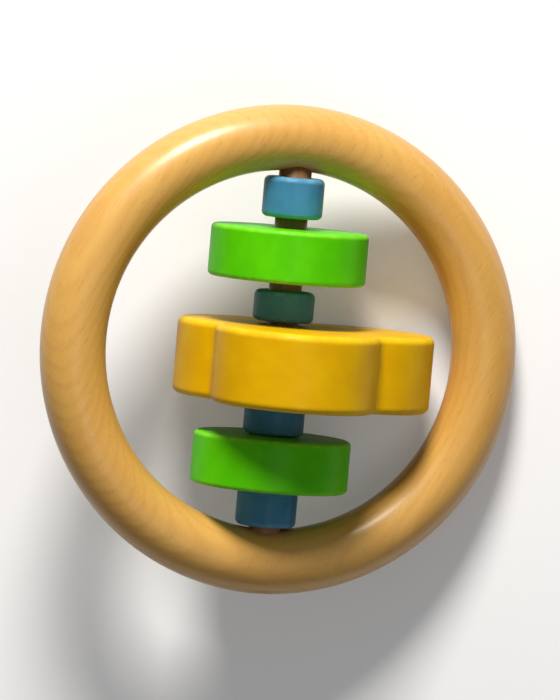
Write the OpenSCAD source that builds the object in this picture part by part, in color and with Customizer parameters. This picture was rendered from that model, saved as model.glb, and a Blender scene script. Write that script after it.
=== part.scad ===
// Wooden ring rattle: a round grasping ring with a crossbar, on which painted
// beads, discs and a three-lobed clacker turn and slide. Millimetres.
// It lies on a table: +Z is up, +Y runs along the crossbar away from its drilled end,
// and the origin is on the table under the middle of the ring.
// The clacker stands on two lobes, and the ring leans until its +X side touches down.

/* [Ring] */
// Outside diameter of the grasping ring
ring_d = 105; // [98:1:118]
// Diameter of the ring's round section
section_d = 14; // [12:0.5:16]

/* [Crossbar] */
// Diameter of the crossbar
bar_d = 7; // [5:0.5:8]
// Depth of the blind hole that holds the far end of the crossbar
blind_depth = 9; // [6:0.5:10]

/* [Beads] */
// Diameter of the four spacer beads
bead_d = 13; // [11:0.5:16]
// Rounding of a bead's edges
bead_edge = 1.2; // [0.4:0.2:1.8]

/* [Discs] */
// Diameter of the two discs
disc_d = 33.8; // [26:0.2:40]
// Thickness of a disc
disc_t = 11.2; // [8:0.2:13]
// Rounding of a disc's edges
disc_edge = 1; // [0.4:0.2:2.4]

/* [Clacker] */
// Radius of each of the clacker's three lobes
lobe_r = 17.5; // [16:0.5:19]
// Thickness of the clacker
clacker_t = 16.6; // [12:0.2:19]
// Rounding of the clacker's edges
clacker_edge = 1.6; // [0.8:0.2:3]
// Distance of the clacker's bore from the middle of its lobes
bore_offset = 4.7; // [0:0.1:6]

/* [Fits] */
// Free length along the crossbar that lets the stack rattle
end_play = 7.3; // [6:0.1:10]
// Room between the crossbar and each bore, on the radius
bore_clearance = 0.35; // [0.2:0.05:0.5]
// Glue line around the crossbar in the ring's holes
glue_gap = 0.05; // [0.02:0.01:0.1]
// Least room between the turning clacker and the inside of the ring
sweep_clearance = 2; // [1:0.2:3]

/* [Hidden] */
$fn = 96;

// Length by which a drill runs past the outside of the ring
overrun = 5;

section_r = section_d / 2;
ring_mid_r = ring_d / 2 - section_r;
ring_inner_r = ring_d / 2 - section_d;
bore_d = bar_d + 2 * bore_clearance;

// Half of the length between the places where the end beads meet the ring's inner wall
stack_half = sqrt(pow(ring_inner_r, 2) - pow(bead_d / 2 - bead_edge, 2));

// The beads fill what the discs, the clacker and the end play leave; the end beads are the longer ones
beads_l = 2 * stack_half - 2 * disc_t - clacker_t - end_play;
bead_shares = [0.292, 0.22, 0.22, 0.268];
bead_lengths = beads_l * bead_shares;

// Pieces from the blind end to the drilled end, and the shares of the end play before each
stack_lengths = [bead_lengths[0], disc_t, bead_lengths[1], clacker_t, bead_lengths[2], disc_t,
                 bead_lengths[3]];
gap_shares = [0.141, 0.308, 0.297, 0.11, 0.034, 0.034, 0.034];

function total(list, count) = count == 0 ? 0 : list[count - 1] + total(list, count - 1);
function piece_y(i) =
    stack_half - total(stack_lengths, i) - stack_lengths[i] / 2 - end_play * total(gap_shares, i + 1);

// The lobes stand as far from the clacker's middle as the ring lets the clacker turn
lobe_angles = [90, 210, 330];
clacker_far_y = abs(piece_y(3)) + (clacker_t + end_play) / 2;
clacker_reach = sqrt(pow(ring_inner_r, 2) - pow(clacker_far_y, 2)) - sweep_clearance;
lobe_reach = clacker_reach - lobe_r;
lobe_offset = sqrt(pow(lobe_reach, 2) - pow(bore_offset * sin(30), 2)) - bore_offset * cos(30);

// Height of the crossbar over the table, and the lean that sets the ring's side down
bar_h = max(lobe_r + lobe_offset * sin(30), disc_d / 2, bead_d / 2, section_r);
ring_lean = asin((bar_h - section_r) / ring_mid_r);

// A turned piece on the crossbar: its axis runs along +Y through the origin
module turned(d, length, edge) {
    rotate([-90, 0, 0])
        rotate_extrude()
            union() {
                translate([0, edge - length / 2])
                    square([d / 2, length - 2 * edge]);
                translate([0, -length / 2])
                    square([d / 2 - edge, length]);
                for (side = [-1, 1])
                    translate([d / 2 - edge, side * (length / 2 - edge)])
                        circle(edge);
            }
}

// A straight round rod along +Y from y = start to y = end
module rod(d, start, end) {
    translate([0, start, 0])
        rotate([-90, 0, 0])
            cylinder(d = d, h = end - start);
}

// Puts a piece on the crossbar at its place in the stack
module on_bar(i) {
    translate([0, piece_y(i), bar_h])
        children();
}

// The ring without its holes, leaned about the crossbar, with the crossbar at the origin
module ring_blank() {
    rotate([0, ring_lean, 0])
        rotate_extrude()
            translate([ring_mid_r, 0])
                circle(section_r);
}

module grasping_ring() {
    color("burlywood")
        translate([0, 0, bar_h])
            difference() {
                ring_blank();
                rod(bar_d + 2 * glue_gap, -ring_d / 2 - overrun, ring_inner_r + blind_depth);
            }
}

// The crossbar's drilled end is sanded flush with the outside of the ring
module crossbar() {
    color("tan")
        translate([0, 0, bar_h])
            union() {
                intersection() {
                    rod(bar_d, -ring_d / 2 - overrun, -ring_inner_r);
                    ring_blank();
                }
                rod(bar_d, -ring_mid_r, ring_inner_r + blind_depth - glue_gap);
            }
}

module bead(i) {
    color("steelblue")
        on_bar(i)
            difference() {
                turned(bead_d, stack_lengths[i], bead_edge);
                rod(bore_d, -stack_lengths[i], stack_lengths[i]);
            }
}

module disc(i) {
    color("limegreen")
        on_bar(i)
            difference() {
                turned(disc_d, disc_t, disc_edge);
                rod(bore_d, -disc_t, disc_t);
            }
}

module top_bead() {
    bead(0);
}

module upper_disc() {
    disc(1);
}

module upper_bead() {
    bead(2);
}

module clacker() {
    color("gold")
        on_bar(3)
            difference() {
                translate([bore_offset, 0, 0])
                    for (angle = lobe_angles)
                        translate([lobe_offset * cos(angle), 0, lobe_offset * sin(angle)])
                            turned(2 * lobe_r, clacker_t, clacker_edge);
                rod(bore_d, -clacker_t, clacker_t);
            }
}

module lower_bead() {
    bead(4);
}

module lower_disc() {
    disc(5);
}

module bottom_bead() {
    bead(6);
}

grasping_ring();
crossbar();
top_bead();
upper_disc();
upper_bead();
clacker();
lower_bead();
lower_disc();
bottom_bead();
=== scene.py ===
"""Looks of a wooden ring rattle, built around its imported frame. Lengths are in metres."""
import math
from collections import namedtuple

import bpy
from mathutils import Matrix, Vector


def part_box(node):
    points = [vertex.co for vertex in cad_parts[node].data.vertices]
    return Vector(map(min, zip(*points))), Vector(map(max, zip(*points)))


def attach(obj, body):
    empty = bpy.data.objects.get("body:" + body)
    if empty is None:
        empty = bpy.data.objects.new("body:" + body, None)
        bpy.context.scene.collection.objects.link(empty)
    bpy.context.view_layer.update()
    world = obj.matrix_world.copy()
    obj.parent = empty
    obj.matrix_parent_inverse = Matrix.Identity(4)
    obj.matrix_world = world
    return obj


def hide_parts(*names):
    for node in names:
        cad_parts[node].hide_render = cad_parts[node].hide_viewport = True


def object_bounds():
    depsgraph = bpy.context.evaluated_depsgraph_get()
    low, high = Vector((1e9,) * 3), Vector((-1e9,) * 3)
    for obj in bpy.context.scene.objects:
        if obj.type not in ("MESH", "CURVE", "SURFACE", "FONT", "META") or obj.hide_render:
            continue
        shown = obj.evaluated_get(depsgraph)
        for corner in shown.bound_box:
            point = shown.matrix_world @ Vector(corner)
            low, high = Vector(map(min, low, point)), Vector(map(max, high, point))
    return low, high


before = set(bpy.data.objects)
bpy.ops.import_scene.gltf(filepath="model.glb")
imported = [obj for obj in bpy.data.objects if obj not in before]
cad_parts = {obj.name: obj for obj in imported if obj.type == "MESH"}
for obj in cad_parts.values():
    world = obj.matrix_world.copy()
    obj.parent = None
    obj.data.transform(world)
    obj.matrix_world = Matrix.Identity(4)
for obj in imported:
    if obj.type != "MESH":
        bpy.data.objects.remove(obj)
cad_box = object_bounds()

MM = 0.001

# Sizes that the boxes of the frame's nodes don't give
SECTION_R = 7 * MM
LOBE_R = 17.5 * MM
BORE_CLEARANCE = 0.35 * MM
GLUE_GAP = 0.05 * MM
BEAD_EDGE = 1.2 * MM
DISC_EDGE = 1 * MM
CLACKER_EDGE = 1.6 * MM
BORE_CHAMFER = 0.5 * MM
CREASE_FILLET = 2.5 * MM
BAR_END_BEVEL = 0.25 * MM

# Fineness of the meshes
RING_SEGMENTS = 360
SECTION_SEGMENTS = 72
TURNED_SEGMENTS = 192
EDGE_STEPS = 10
LOBE_STEPS = 84
FILLET_STEPS = 12

# Rows of points on flat faces and sides, as shares of the way across them
DISC_FACE_ROWS = (0.6, 0.3, 0.05)
CLACKER_FACE_ROWS = (0.04, 0.35, 0.7, 0.96)
SIDE_ROWS = (0.95, 0)
BAR_FLUSH_END_ROWS = (0.02, 0.4, 0.75)
BAR_FAR_END_ROWS = (1, 0.5, 0.02)

# Rubbing and painted highlight on the lip of a bore, where a rounded edge has 1 at its middle
LIP_RUB_AND_HIGHLIGHT = 0.3

# Cosine of the largest angle between the ring's round surface and a face that lies on it
ON_SECTION = 0.9


def centre(node):
    low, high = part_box(node)
    return (low + high) / 2


def extent(node):
    low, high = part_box(node)
    return high - low


BAR_H = centre("top_bead").z
BAR_R = extent("crossbar").x / 2
BAR_FAR_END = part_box("crossbar")[1].y
BORE_R = BAR_R + BORE_CLEARANCE
RING_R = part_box("grasping_ring")[1].y
RING_MID_R = RING_R - SECTION_R
RING_LEAN = math.asin((extent("grasping_ring").z / 2 - SECTION_R) / RING_MID_R)
RING_PLACE = Matrix.Translation((0, 0, BAR_H)) @ Matrix.Rotation(RING_LEAN, 4, "Y")
ALONG_BAR = Matrix.Rotation(-math.pi / 2, 4, "X")


def linear(red, green, blue):
    """A colour written in 0 to 255 as it looks on a screen, as Blender's linear values."""
    def one(level):
        share = level / 255
        return share / 12.92 if share <= 0.04045 else ((share + 0.055) / 1.055) ** 2.4
    return (one(red), one(green), one(blue), 1)


# Tones of the ring's wood
RING_PALE = linear(228, 174, 86)
RING_DEEP = linear(221, 164, 76)
RING_LATE_WOOD = linear(196, 134, 60)
RING_FIBRE = linear(240, 192, 106)
RING_FLECK = linear(158, 100, 44)
RING_END_GRAIN = linear(190, 132, 64)

# Tones of the dowel inside the ring, darkened as painted shade for the gaps between the pieces, and
# of its flush end under the ring's lacquer
SHAFT_EARLY_WOOD_PAINTED_SHADE = linear(150, 104, 58)
SHAFT_LATE_WOOD_PAINTED_SHADE = linear(110, 72, 36)
SHAFT_FIBRE_PAINTED_SHADE = linear(168, 122, 72)
FLUSH_EARLY_WOOD = linear(216, 162, 82)
FLUSH_LATE_WOOD = linear(186, 130, 62)
FLUSH_FIBRE = linear(230, 180, 98)
FLUSH_FADE = 3 * MM

# Each paint's colour, its paler tone for worn edges and for the painted highlight along every
# rounded edge, its tone in thick coats, and its gloss
Paint = namedtuple("Paint", "colour rubbed thick gloss")
BLUE = Paint(linear(74, 138, 174), linear(122, 174, 198), linear(60, 122, 160), 0.12)
GREEN = Paint(linear(94, 214, 0), linear(150, 226, 60), linear(84, 202, 0), 0.08)
YELLOW = Paint(linear(236, 184, 0), linear(250, 210, 40), linear(228, 172, 0), 0.08)

# Turns that lay the fibre, which runs along a finish's X axis
RING_FIBRE_TURN = RING_PLACE.to_3x3() @ Matrix.Rotation(math.radians(62), 3, "Z")
FIBRE_ALONG_BAR = Matrix.Rotation(math.pi / 2, 3, "Z")
FIBRE_ACROSS_BAR = Matrix.Identity(3)


class Wire:
    """An output socket in a finish, with arithmetic that adds Math nodes."""

    def __init__(self, finish, socket):
        self.finish = finish
        self.socket = socket

    def math(self, operation, first, second=0.0):
        return self.finish.node("ShaderNodeMath", {"operation": operation}, {0: first, 1: second})

    def __add__(self, other):
        return self.math("ADD", self, other)

    def __radd__(self, other):
        return self.math("ADD", other, self)

    def __rsub__(self, other):
        return self.math("SUBTRACT", other, self)

    def __mul__(self, other):
        return self.math("MULTIPLY", self, other)

    def __rmul__(self, other):
        return self.math("MULTIPLY", other, self)

    def __abs__(self):
        return self.math("ABSOLUTE", self)

    def sine(self):
        return self.math("SINE", self)


class Finish:
    """One material: a principled surface and the nodes that feed it."""

    def __init__(self, name, coat=0.0, coat_roughness=0.1, specular=0.5):
        self.material = bpy.data.materials.new(name)
        self.material.use_nodes = True
        self.tree = self.material.node_tree
        self.surface = self.tree.nodes["Principled BSDF"]
        self.set("Specular IOR Level", specular)
        self.set("Coat Weight", coat)
        self.set("Coat Roughness", coat_roughness)

    def node(self, kind, settings=None, inputs=None, output=0):
        made = self.tree.nodes.new(kind)
        for key, value in (settings or {}).items():
            setattr(made, key, value)
        for key, value in (inputs or {}).items():
            self.feed(made.inputs[key], value)
        return Wire(self, made.outputs[output])

    def feed(self, socket, value):
        if isinstance(value, Wire):
            self.tree.links.new(value.socket, socket)
        else:
            socket.default_value = value

    def set(self, socket, value):
        self.feed(self.surface.inputs[socket], value)

    def vector(self, operation, inputs, output=0):
        return self.node("ShaderNodeVectorMath", {"operation": operation}, inputs, output)

    def blend(self, share, first, second):
        """Colour first, turning into colour second as share goes from 0 to 1."""
        inputs = {0: share, 6: first, 7: second}
        return self.node("ShaderNodeMix", {"data_type": "RGBA"}, inputs, 2)

    def tint(self, tone, mask, strength, colour):
        """The tone, turned towards a colour by the strength where the mask is 1."""
        return self.blend(mask * strength, tone, colour)

    def ramp(self, value, low, high):
        """0 below low, 1 above high, and smooth between them."""
        inputs = {"Value": value, 1: low, 2: high}
        return self.node("ShaderNodeMapRange", {"interpolation_type": "SMOOTHSTEP"}, inputs)

    def place(self, origin, turn):
        """The object's own coordinates, from origin along the axes of the rotation turn."""
        coordinates = self.node("ShaderNodeTexCoord", output="Object")
        inputs = {"Vector": coordinates, "Location": origin, "Rotation": turn.to_euler()}
        return self.node("ShaderNodeMapping", {"vector_type": "TEXTURE"}, inputs)

    def noise(self, place, along, across, detail=2.0, roughness=0.5):
        """Noise whose features have one length along the place's X axis and one across it."""
        counted = self.vector("MULTIPLY", {0: place, 1: (1 / along, 1 / across, 1 / across)})
        inputs = {"Vector": counted, "Scale": 1.0, "Detail": detail, "Roughness": roughness}
        return self.node("ShaderNodeTexNoise", inputs=inputs)

    def bump(self, height, distance):
        inputs = {"Height": height, "Distance": distance, "Strength": 1.0}
        self.set("Normal", self.node("ShaderNodeBump", inputs=inputs))


def growth_rings(finish, place, pith, spacing, wobble):
    """Late wood lines, from 0 to 1, of a tree whose pith runs along the fibre through pith."""
    drift = finish.noise(place, along=60 * MM, across=9 * MM)
    from_pith = finish.vector("SUBTRACT", {0: place, 1: pith})
    across = finish.vector("MULTIPLY", {0: from_pith, 1: (0, 1, 1)})
    radius = finish.vector("LENGTH", {0: across}, 1)
    phase = (radius + drift * wobble) * (2 * math.pi / spacing)
    return finish.ramp(phase.sine(), -0.2, 1.0)


def lacquered_ring_wood():
    """Pale beech under clear gloss lacquer, its fibre running straight across the ring."""
    finish = Finish("lacquered_ring_wood", coat=0.4, coat_roughness=0.24)
    place = finish.place((0, 0, BAR_H), RING_FIBRE_TURN)
    pith = (0, -20 * MM, -55 * MM)
    rings = growth_rings(finish, place, pith, spacing=1.7 * MM, wobble=3 * MM)
    fibre = finish.noise(place, along=14 * MM, across=0.5 * MM, detail=4.0, roughness=0.6)
    patches = finish.noise(place, along=70 * MM, across=22 * MM)
    specks = finish.noise(place, along=2.6 * MM, across=0.34 * MM)
    flecks = finish.ramp(specks, 0.63, 0.72)
    normal = finish.node("ShaderNodeTexCoord", output="Normal")
    fibre_axis = tuple(RING_FIBRE_TURN.col[0])
    end_on = finish.vector("DOT_PRODUCT", {0: normal, 1: fibre_axis}, 1)
    end_grain = finish.ramp(abs(end_on), 0.55, 1.0)
    tone = finish.blend(finish.ramp(patches, 0.3, 0.7), RING_PALE, RING_DEEP)
    tone = finish.tint(tone, rings, 0.16, RING_LATE_WOOD)
    tone = finish.tint(tone, finish.ramp(fibre, 0.35, 0.75), 0.22, RING_FIBRE)
    tone = finish.tint(tone, flecks, 0.28 - 0.18 * end_grain, RING_FLECK)
    tone = finish.tint(tone, end_grain, 0.20, RING_END_GRAIN)
    finish.set("Base Color", tone)
    finish.set("Roughness", 0.36 + 0.16 * fibre)
    finish.bump(fibre * 0.6 + rings * 0.4, 0.03 * MM)
    return finish.material


def bare_bar_wood():
    """Sanded beech dowel, its fibre along the bar; inside the ring it is painted darker as shade in
    the gaps between the pieces, and its flush end has the ring's paler tone.
    """
    finish = Finish("bare_bar_wood", coat=0.2, coat_roughness=0.3)
    place = finish.place((0, 0, BAR_H), FIBRE_ALONG_BAR)
    pith = (0, 9 * MM, -5 * MM)
    rings = growth_rings(finish, place, pith, spacing=1.3 * MM, wobble=0.8 * MM)
    fibre = finish.noise(place, along=9 * MM, across=0.3 * MM, detail=4.0, roughness=0.6)
    along = finish.node("ShaderNodeSeparateXYZ", inputs={0: place})
    # Painted shade: the dowel darkens from its flush end into the ring, standing in for the shade
    # in the gaps between the pieces.
    shaft_painted_shade = finish.ramp(along, -RING_MID_R - FLUSH_FADE, -RING_MID_R)
    early_wood = finish.blend(shaft_painted_shade, FLUSH_EARLY_WOOD, SHAFT_EARLY_WOOD_PAINTED_SHADE)
    late_wood = finish.blend(shaft_painted_shade, FLUSH_LATE_WOOD, SHAFT_LATE_WOOD_PAINTED_SHADE)
    pale_fibre = finish.blend(shaft_painted_shade, FLUSH_FIBRE, SHAFT_FIBRE_PAINTED_SHADE)
    tone = finish.tint(early_wood, rings, 0.35, late_wood)
    tone = finish.tint(tone, finish.ramp(fibre, 0.4, 0.7), 0.4, pale_fibre)
    finish.set("Base Color", tone)
    finish.set("Roughness", 0.45 + 0.2 * fibre)
    finish.bump(fibre + rings * 0.5, 0.03 * MM)
    return finish.material


def painted_wood(name, paint, origin, turn):
    """Brushed paint over turned wood: the grain shows through faintly, the edges are worn in
    places, and every rounded edge is painted paler, partly as thin paint and partly as a painted
    highlight.
    """
    finish = Finish(name, coat=paint.gloss, coat_roughness=0.22, specular=0.1)
    place = finish.place(origin, turn)
    pith = (0, 7 * MM, 4 * MM)
    rings = growth_rings(finish, place, pith, spacing=1.9 * MM, wobble=1.2 * MM)
    fibre = finish.noise(place, along=8 * MM, across=0.35 * MM, detail=3.0, roughness=0.55)
    coats = finish.noise(place, along=9 * MM, across=7 * MM)
    peel = finish.noise(place, along=0.9 * MM, across=0.9 * MM, detail=1.0)
    edge = finish.node("ShaderNodeAttribute", {"attribute_name": "edge"}, output="Fac")
    rub = finish.noise(place, along=2.4 * MM, across=2.4 * MM, detail=4.0, roughness=0.6)
    worn = edge * finish.ramp(rub, 0.42, 0.66)
    tone = finish.blend(finish.ramp(coats, 0.3, 0.7), paint.colour, paint.thick)
    tone = finish.tint(tone, rings, 0.10, paint.thick)
    # Painted highlight: every rounded edge is made paler, partly as thin paint and partly standing
    # in for the light on the rims.
    tone = finish.tint(tone, edge, 0.30, paint.rubbed)
    tone = finish.tint(tone, worn, 0.55, paint.rubbed)
    finish.set("Base Color", tone)
    finish.set("Roughness", 0.42 + 0.14 * coats + 0.10 * worn)
    finish.bump(fibre * 0.5 + rings * 0.15 + peel * 0.4, 0.035 * MM)
    return finish.material


def mesh_piece(name, rows, rub_and_highlight, finish, capped=False):
    """A closed surface through rows of points that run round.

    The last row joins the first, or both are capped. Each row has its share of rubbing and painted
    highlight, from 0 to 1.
    """
    count = len(rows[0])
    points = [point for row in rows for point in row]
    faces = []
    for i in range(len(rows) - capped):
        below = i * count
        above = (i + 1) % len(rows) * count
        for j in range(count):
            k = (j + 1) % count
            faces.append((below + j, below + k, above + k, above + j))
    if capped:
        faces.append(tuple(reversed(range(count))))
        faces.append(tuple(range(len(points) - count, len(points))))
    mesh = bpy.data.meshes.new(name)
    mesh.from_pydata(points, [], faces)
    mesh.polygons.foreach_set("use_smooth", [True] * len(faces))
    edge = mesh.attributes.new("edge", "FLOAT", "POINT")
    edge.data.foreach_set("value", [share for share in rub_and_highlight for _ in range(count)])
    mesh.materials.append(finish)
    mesh.update()
    piece = bpy.data.objects.new(name, mesh)
    bpy.context.scene.collection.objects.link(piece)
    return piece


def around(profile, segments, place):
    """Rows of points made by turning a profile of (radius, height) about the local Z axis."""
    rows = []
    for radius, height in profile:
        row = []
        for j in range(segments):
            angle = 2 * math.pi * j / segments
            point = Vector((radius * math.cos(angle), radius * math.sin(angle), height))
            row.append(place @ point)
        rows.append(row)
    return rows


def rounded_edge(edge):
    """Inset from the side, drop from the face, and share of rubbing and painted highlight of each
    step over a rounded edge.
    """
    steps = []
    for i in range(EDGE_STEPS + 1):
        angle = math.pi / 2 * i / EDGE_STEPS
        inset = edge * (1 - math.sin(angle))
        drop = edge * (1 - math.cos(angle))
        steps.append((inset, drop, math.sin(2 * angle)))
    return steps


def bore_wall_heights(half):
    return (BORE_CHAMFER - half, 0, half - BORE_CHAMFER)


def turned_profile(radius, length, edge):
    """A bored piece's closed outline as (radius, height, share of rubbing and painted highlight),
    from its upper lip outwards.
    """
    half = length / 2
    lip = BORE_R + BORE_CHAMFER
    rim = radius - edge
    top = [(lip, half, LIP_RUB_AND_HIGHLIGHT), (lip + BORE_CHAMFER, half, 0)]
    top += [(rim - (rim - lip) * share, half, 0) for share in DISC_FACE_ROWS]
    top += [(radius - inset, half - drop, rub_and_highlight) for inset, drop, rub_and_highlight in rounded_edge(edge)]
    side = [(radius, (half - edge) * share, 0) for share in SIDE_ROWS]
    bottom = [(r, -height, rub_and_highlight) for r, height, rub_and_highlight in reversed(top + side[:1])]
    wall = [(BORE_R, height, 0) for height in bore_wall_heights(half)]
    return top + side + bottom + wall


def turned_piece(name, node, edge, finish):
    size = extent(node)
    profile = turned_profile(size.x / 2, size.y, edge)
    place = Matrix.Translation(centre(node)) @ ALONG_BAR
    rows = around([(radius, height) for radius, height, _ in profile], TURNED_SEGMENTS, place)
    return mesh_piece(name, rows, [rub_and_highlight for _, _, rub_and_highlight in profile], finish)


def clacker_outline(offset, middle):
    """Steps round the clacker: arc centre, arc radius, sign of an inset on it and direction."""
    reach = LOBE_R + CREASE_FILLET
    fillet_at = (offset + math.sqrt(4 * reach ** 2 - 3 * offset ** 2)) / 2
    half_pitch = math.radians(60)
    steps = []
    for lobe in range(3):
        out = math.radians(90 + 120 * lobe)
        crease = out + half_pitch
        lobe_centre = middle + offset * Vector((math.cos(out), math.sin(out)))
        fillet_centre = middle + fillet_at * Vector((math.cos(crease), math.sin(crease)))
        to_fillet = fillet_centre - lobe_centre
        sweep = (math.atan2(to_fillet.y, to_fillet.x) - out) % (2 * math.pi)
        for i in range(LOBE_STEPS):
            steps.append((lobe_centre, LOBE_R, -1, out - sweep + 2 * sweep * i / LOBE_STEPS))
        start = out + sweep + math.pi
        turn = 2 * (sweep - half_pitch)
        for i in range(FILLET_STEPS):
            steps.append((fillet_centre, CREASE_FILLET, 1, start - turn * i / FILLET_STEPS))
    return steps


def clacker_piece(name, node, edge, finish):
    size = extent(node)
    middle = centre(node)
    offset = (size.x / 2 - LOBE_R) / math.cos(math.radians(30))
    outline = clacker_outline(offset, Vector((middle.x, BAR_H)))
    bore = Vector((0, BAR_H))
    lip = BORE_R + BORE_CHAMFER

    def outer(inset):
        points = []
        for arc_centre, radius, sign, angle in outline:
            direction = Vector((math.cos(angle), math.sin(angle)))
            points.append(arc_centre + (radius + sign * inset) * direction)
        return points

    toward = [(point - bore).normalized() for point in outer(edge)]

    def inner(radius):
        return [bore + radius * direction for direction in toward]

    def between(share):
        return [a.lerp(b, share) for a, b in zip(inner(lip), outer(edge))]

    half = size.y / 2
    top = [(inner(lip), half, LIP_RUB_AND_HIGHLIGHT)]
    top += [(between(share), half, 0) for share in CLACKER_FACE_ROWS]
    top += [(outer(inset), half - drop, rub_and_highlight) for inset, drop, rub_and_highlight in rounded_edge(edge)]
    side = [(outer(0), (half - edge) * share, 0) for share in SIDE_ROWS]
    bottom = [(ring, -height, rub_and_highlight) for ring, height, rub_and_highlight in reversed(top + side[:1])]
    wall = [(inner(BORE_R), height, 0) for height in bore_wall_heights(half)]
    levels = top + side + bottom + wall
    rows = []
    for ring, height, _ in levels:
        rows.append([(point.x, middle.y + height, point.y) for point in reversed(ring)])
    return mesh_piece(name, rows, [rub_and_highlight for _, _, rub_and_highlight in levels], finish)


def drill(start, end):
    """A rod along the bar that cuts the ring's holes."""
    profile = [(BAR_R + GLUE_GAP, start), (BAR_R + GLUE_GAP, end)]
    place = Matrix.Translation((0, 0, BAR_H)) @ ALONG_BAR
    rows = around(profile, TURNED_SEGMENTS, place)
    mesh = bpy.data.meshes.new("drill")
    count = TURNED_SEGMENTS
    sides = []
    for j in range(count):
        k = (j + 1) % count
        sides.append((j, k, count + k, count + j))
    caps = [tuple(reversed(range(count))), tuple(range(count, 2 * count))]
    mesh.from_pydata(rows[0] + rows[1], [], sides + caps)
    rod = bpy.data.objects.new("drill", mesh)
    bpy.context.scene.collection.objects.link(rod)
    return rod


def grasping_ring(finish):
    """The ring, with its through hole and its blind hole, shaded as a true round section."""
    angles = [2 * math.pi * i / SECTION_SEGMENTS for i in range(SECTION_SEGMENTS)]
    profile = [(RING_MID_R + SECTION_R * math.cos(a), SECTION_R * math.sin(a)) for a in angles]
    rows = around(profile, RING_SEGMENTS, RING_PLACE)
    ring = mesh_piece("lacquered_ring", rows, [0] * SECTION_SEGMENTS, finish)
    rod = drill(-RING_R - SECTION_R, BAR_FAR_END)
    cut = ring.modifiers.new("holes", "BOOLEAN")
    cut.object = rod
    cut.solver = "EXACT"
    evaluated = ring.evaluated_get(bpy.context.evaluated_depsgraph_get())
    drilled = bpy.data.meshes.new_from_object(evaluated)
    ring.modifiers.clear()
    ring.data = drilled
    bpy.data.objects.remove(rod)
    back = RING_PLACE.inverted()
    turn = RING_PLACE.to_3x3()
    normals = []
    for polygon in drilled.polygons:
        for corner in polygon.loop_indices:
            point = back @ drilled.vertices[drilled.loops[corner].vertex_index].co
            spine = Vector((point.x, point.y, 0)).normalized() * RING_MID_R
            round_normal = turn @ (point - spine).normalized()
            on_section = polygon.normal.dot(round_normal) > ON_SECTION
            normals.append(round_normal if on_section else polygon.normal.copy())
    drilled.normals_split_custom_set(normals)
    return ring


def crossbar(finish):
    """The dowel, its drilled end sanded to the ring's round and its far end plain."""
    turn = RING_PLACE.to_3x3().inverted()

    def flush(x, z):
        local = turn @ Vector((x, 0, z))
        reach = RING_MID_R + math.sqrt(SECTION_R ** 2 - local.z ** 2)
        return math.sqrt(reach ** 2 - local.x ** 2)

    levels = [(share, 0) for share in BAR_FLUSH_END_ROWS]
    levels += [(1 - BAR_END_BEVEL / BAR_R, 0), (1, BAR_END_BEVEL)]
    rows = []
    for share, drop in levels:
        row = []
        for j in range(TURNED_SEGMENTS):
            angle = 2 * math.pi * j / TURNED_SEGMENTS
            x = BAR_R * share * math.cos(angle)
            z = BAR_R * share * math.sin(angle)
            row.append((x, drop - flush(x, z), BAR_H + z))
        rows.append(row)
    rim = rows[-1]
    plain = [(-RING_MID_R, 1), (0, 1)] + [(BAR_FAR_END, share) for share in BAR_FAR_END_ROWS]
    for y, share in plain:
        rows.append([(x * share, y, BAR_H + (z - BAR_H) * share) for x, _, z in rim])
    rows.reverse()
    return mesh_piece("crossbar_dowel", rows, [0] * len(rows), finish, capped=True)


def stand_for(piece, node, body):
    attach(piece, body)
    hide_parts(node)


def build_rattle():
    ring = grasping_ring(lacquered_ring_wood())
    stand_for(ring, "grasping_ring", "ring_and_bar")
    stand_for(crossbar(bare_bar_wood()), "crossbar", "ring_and_bar")
    for node in ("top_bead", "upper_bead", "lower_bead", "bottom_bead"):
        finish = painted_wood(node + "_blue", BLUE, centre(node), FIBRE_ALONG_BAR)
        stand_for(turned_piece("blue_" + node, node, BEAD_EDGE, finish), node, node)
    for node in ("upper_disc", "lower_disc"):
        finish = painted_wood(node + "_green", GREEN, centre(node), FIBRE_ALONG_BAR)
        disc = turned_piece("green_" + node, node, DISC_EDGE, finish)
        stand_for(disc, node, node)
    finish = painted_wood("clacker_yellow", YELLOW, centre("clacker"), FIBRE_ACROSS_BAR)
    clacker = clacker_piece("yellow_clacker", "clacker", CLACKER_EDGE, finish)
    stand_for(clacker, "clacker", "clacker")


# The photograph's view, fitted to the ring's outline and to the pieces on the bar
CAMERA_DISTANCE = 1.2
CAMERA_LEAN_X = math.radians(5.43)
CAMERA_LEAN_Y = math.radians(3.5)
CAMERA_ROLL = math.radians(4.97)
CAMERA_CLIP_START = 0.01
PHOTO_HEIGHT = 700
PIXELS_PER_MM = 4.6775
SENSOR = 36.0


def photo_camera():
    back = Vector((math.tan(CAMERA_LEAN_X), math.tan(CAMERA_LEAN_Y), 1)).normalized()
    right = Vector((0, 1, 0)).cross(back).normalized()
    up = back.cross(right)
    rolled_right = right * math.cos(CAMERA_ROLL) + up * math.sin(CAMERA_ROLL)
    rolled_up = up * math.cos(CAMERA_ROLL) - right * math.sin(CAMERA_ROLL)
    data = bpy.data.cameras.new("photo_camera")
    data.sensor_fit = "VERTICAL"
    data.sensor_height = SENSOR
    data.lens = SENSOR * CAMERA_DISTANCE / (PHOTO_HEIGHT / PIXELS_PER_MM * MM)
    data.clip_start = CAMERA_CLIP_START
    camera = bpy.data.objects.new("photo_camera", data)
    place = Matrix((rolled_right, rolled_up, back)).transposed().to_4x4()
    place.translation = Vector((0, 0, BAR_H)) + back * CAMERA_DISTANCE
    camera.matrix_world = place
    bpy.context.scene.collection.objects.link(camera)
    bpy.context.scene.camera = camera


def area_light(name, toward, distance, size, power, colour):
    """A round soft light that shines on the rattle from the direction toward."""
    data = bpy.data.lights.new(name, "AREA")
    data.shape = "DISK"
    data.size = size
    data.energy = power
    data.color = colour
    light = bpy.data.objects.new(name, data)
    direction = Vector(toward).normalized()
    light.location = Vector((0, 0, BAR_H)) + direction * distance
    light.rotation_euler = direction.to_track_quat("Z", "Y").to_euler()
    bpy.context.scene.collection.objects.link(light)


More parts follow.
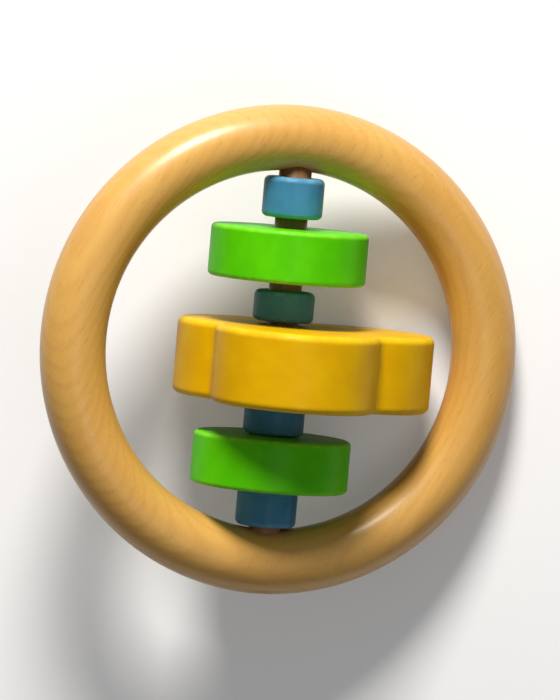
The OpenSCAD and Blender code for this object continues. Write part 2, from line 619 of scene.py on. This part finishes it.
# The floor's two pale tones, the tone that lights the rattle from below, and the glow seen on it
FLOOR_PALE = linear(242, 241, 240)
FLOOR_PALEST = linear(246, 245, 244)
FLOOR_BOUNCE = linear(168, 167, 166)
FLOOR_DARK = (0, 0, 0, 1)
FLOOR_GLOW = (0.12, 0.12, 0.12, 1)
FLOOR_ROUGHNESS = 0.6
FLOOR_HALF_SIDE = 3.0
FLOOR_MOTTLE = 60 * MM
SKY_COLOUR = (0.94, 0.96, 1.0, 1)
SKY_STRENGTH = 0.15


def pale_floor():
    finish = Finish("pale_floor")
    place = finish.place((0, 0, 0), Matrix.Identity(3))
    mottle = finish.noise(place, along=FLOOR_MOTTLE, across=FLOOR_MOTTLE, detail=3.0)
    pale = finish.blend(mottle, FLOOR_PALE, FLOOR_PALEST)
    rays = ("Is Camera Ray", "Is Glossy Ray", "Is Transmission Ray")
    seen = sum(finish.node("ShaderNodeLightPath", output=ray) for ray in rays)
    finish.set("Base Color", finish.blend(seen, FLOOR_BOUNCE, pale))
    finish.set("Emission Color", finish.blend(seen, FLOOR_DARK, FLOOR_GLOW))
    finish.set("Emission Strength", 1.0)
    finish.set("Roughness", FLOOR_ROUGHNESS)
    mesh = bpy.data.meshes.new("floor")
    corners = []
    for x, y in ((-1, -1), (1, -1), (1, 1), (-1, 1)):
        corners.append((x * FLOOR_HALF_SIDE, y * FLOOR_HALF_SIDE, cad_box[0][2]))
    mesh.from_pydata(corners, [], [(0, 1, 2, 3)])
    mesh.materials.append(finish.material)
    floor = bpy.data.objects.new("floor", mesh)
    bpy.context.scene.collection.objects.link(floor)


def studio_light():
    area_light("key", toward=(-0.05, 0.83, 0.55), distance=1.0, size=0.32, power=13.5,
               colour=(1.0, 0.98, 0.95))
    area_light("fill", toward=(0.3, -0.2, 0.9), distance=1.1, size=0.6, power=0.9,
               colour=(0.95, 0.97, 1.0))
    world = bpy.data.worlds.new("studio")
    world.use_nodes = True
    sky = world.node_tree.nodes["Background"]
    sky.inputs["Color"].default_value = SKY_COLOUR
    sky.inputs["Strength"].default_value = SKY_STRENGTH
    bpy.context.scene.world = world
    bpy.context.scene.view_settings.view_transform = "Standard"


photo_camera()
build_rattle()
pale_floor()
studio_light()
